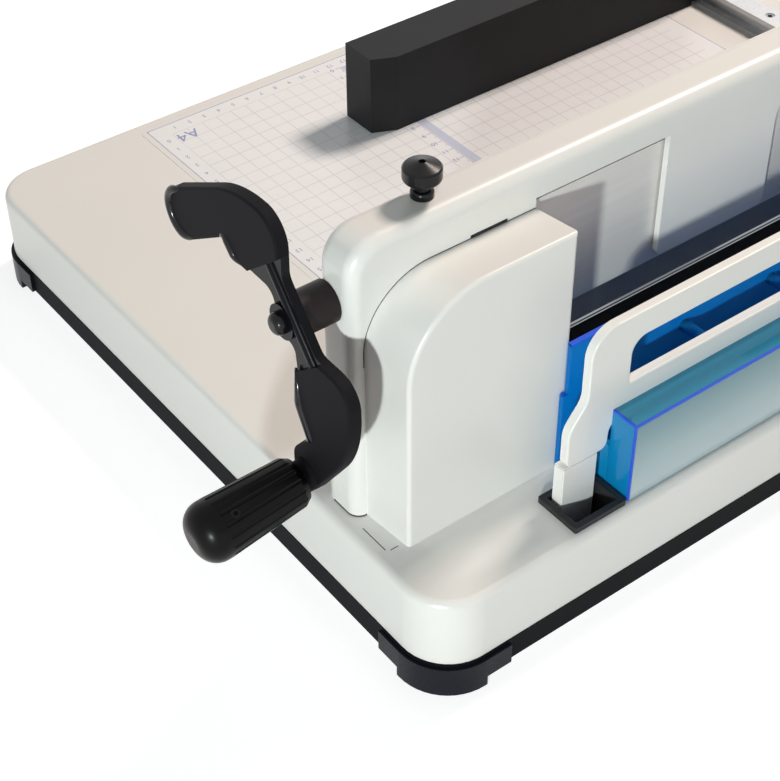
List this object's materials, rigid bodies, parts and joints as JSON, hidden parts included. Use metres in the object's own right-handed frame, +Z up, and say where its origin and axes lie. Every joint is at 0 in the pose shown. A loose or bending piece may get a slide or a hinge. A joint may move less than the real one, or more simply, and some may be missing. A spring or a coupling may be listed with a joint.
{
  "type": "guillotine paper cutter",
  "caption": "Manual guillotine paper cutter with a lever-driven blade, crank press, clear blue finger guard and sliding back gauge on a gridded table.",
  "frame": {"origin": "on the floor under the middle of the base", "axes": "+X to the right as the user stands, +Y from the user to the back gauge, +Z up"},
  "size_m": [0.6651, 0.4074, 0.3758],
  "materials": {
    "white_paint": "satin powder coat",
    "black_plastic": "moulded, matte",
    "black_gloss": "moulded, glossy",
    "grip_rubber": "moulded",
    "pad_rubber": "moulded",
    "plate_steel": "brushed plate",
    "blade_steel": "ground and polished",
    "zinc_steel": "zinc plated",
    "black_paint": "satin black coat",
    "clamp_alloy": "black anodised",
    "plain_alloy": "clear anodised",
    "bronze": "sintered",
    "stick_plastic": "extruded",
    "printed_sheet": "printed film",
    "blue_acrylic": "clear tinted sheet"
  },
  "bodies": {
    "base": {"base_tray": "white_paint", "edge_trim": "black_plastic", "bottom_plate": "zinc_steel", "corner_feet": "black_gloss", "foot_screws": "zinc_steel", "cross_beam": "zinc_steel", "portal_bolts": "zinc_steel", "cutting_stick": "stick_plastic", "table_sheet": "printed_sheet", "portal_frame": "white_paint", "left_housing": "white_paint", "lever_housing": "white_paint", "housing_screws": "zinc_steel", "lever_bush": "bronze", "link_stud": "zinc_steel", "left_shaft_bush": "bronze", "right_shaft_bush": "bronze", "left_rack_guide": "black_plastic", "right_rack_guide": "black_plastic", "left_guard_socket": "black_plastic", "right_guard_socket": "black_plastic", "gauge_rail": "plain_alloy", "rail_screws": "zinc_steel"},
    "lever": {"lever_shaft": "zinc_steel", "lever_arm": "black_paint", "lever_grip": "grip_rubber", "lever_bolt": "zinc_steel"},
    "carrier": {"blade_carrier": "plate_steel", "blade": "blade_steel", "blade_bolts": "zinc_steel", "carrier_pins": "zinc_steel"},
    "link": {"left_link": "zinc_steel"},
    "clamp": {"clamp_bar": "clamp_alloy", "clamp_pad": "pad_rubber", "left_rack": "zinc_steel", "right_rack": "zinc_steel"},
    "crank": {"crank_shaft": "zinc_steel", "crank_hub": "black_plastic", "crank_arm": "black_plastic", "crank_bolt": "zinc_steel", "grip_pin": "zinc_steel", "left_pinion": "zinc_steel", "right_pinion": "zinc_steel"},
    "grip": {"crank_grip": "black_gloss"},
    "left_thumb": {"left_thumbscrew": "black_gloss"},
    "right_thumb": {"right_thumbscrew": "black_gloss"},
    "guard": {"guard_frame": "white_paint", "left_guard_leg": "white_paint", "right_guard_leg": "white_paint", "front_cover": "blue_acrylic", "rear_panel": "blue_acrylic", "guard_standoffs": "blue_acrylic", "guard_screws": "zinc_steel"},
    "gauge": {"gauge_bar": "black_plastic", "gauge_carriage": "black_plastic"},
    "gauge_lock": {"gauge_knob": "black_gloss"}
  },
  "joints": [
    {"name": "lever_swing", "type": "hinge", "parent": "base", "child": "lever", "pos_m": [0.182, -0.1545, 0.107], "axis": [0, 1, 0], "range_deg": [0, 55.7]},
    {"name": "carrier_pivot", "type": "hinge", "parent": "lever", "child": "carrier", "pos_m": [0.21523, -0.1425, 0.14023], "axis": [0, 1, 0], "range_deg": [-55.7, 0]},
    {"name": "link_pivot", "type": "hinge", "parent": "base", "child": "link", "pos_m": [-0.232, -0.1395, 0.107], "axis": [0, 1, 0], "range_deg": [0, 55.7]},
    {"name": "clamp_press", "type": "slide", "parent": "base", "child": "clamp", "axis": [0, 0, 1], "range_m": [-0.01, 0.033]},
    {"name": "crank_turn", "type": "hinge", "parent": "base", "child": "crank", "pos_m": [-0.27, -0.1175, 0.172], "axis": [1, 0, 0], "range_deg": [-57.4, 189.2]},
    {"name": "grip_spin", "type": "hinge", "parent": "crank", "child": "grip", "pos_m": [-0.275, -0.1305, 0.0984], "axis": [-0.9962, 0, -0.0872], "continuous": true},
    {"name": "left_thumb_turn", "type": "hinge", "parent": "base", "child": "left_thumb", "pos_m": [-0.206, -0.1194, 0.204], "axis": [0, 0, 1], "continuous": true},
    {"name": "right_thumb_turn", "type": "hinge", "parent": "base", "child": "right_thumb", "pos_m": [0.206, -0.1194, 0.204], "axis": [0, 0, 1], "continuous": true},
    {"name": "guard_lift", "type": "slide", "parent": "base", "child": "guard", "axis": [0, 0, 1], "range_m": [0, 0.028]},
    {"name": "gauge_slide", "type": "slide", "parent": "base", "child": "gauge", "axis": [0, 1, 0], "range_m": [-0.188, 0.024]},
    {"name": "gauge_lock_turn", "type": "hinge", "parent": "gauge", "child": "gauge_lock", "pos_m": [0.2, 0.1335, 0.0772], "axis": [0, 0, 1], "continuous": true}
  ],
  "couplings": [
    {"joint": "carrier_pivot", "follows": "lever_swing", "ratio": -1},
    {"joint": "link_pivot", "follows": "lever_swing", "ratio": 1},
    {"joint": "crank_turn", "follows": "clamp_press", "rad_per_m": 100}
  ]
}
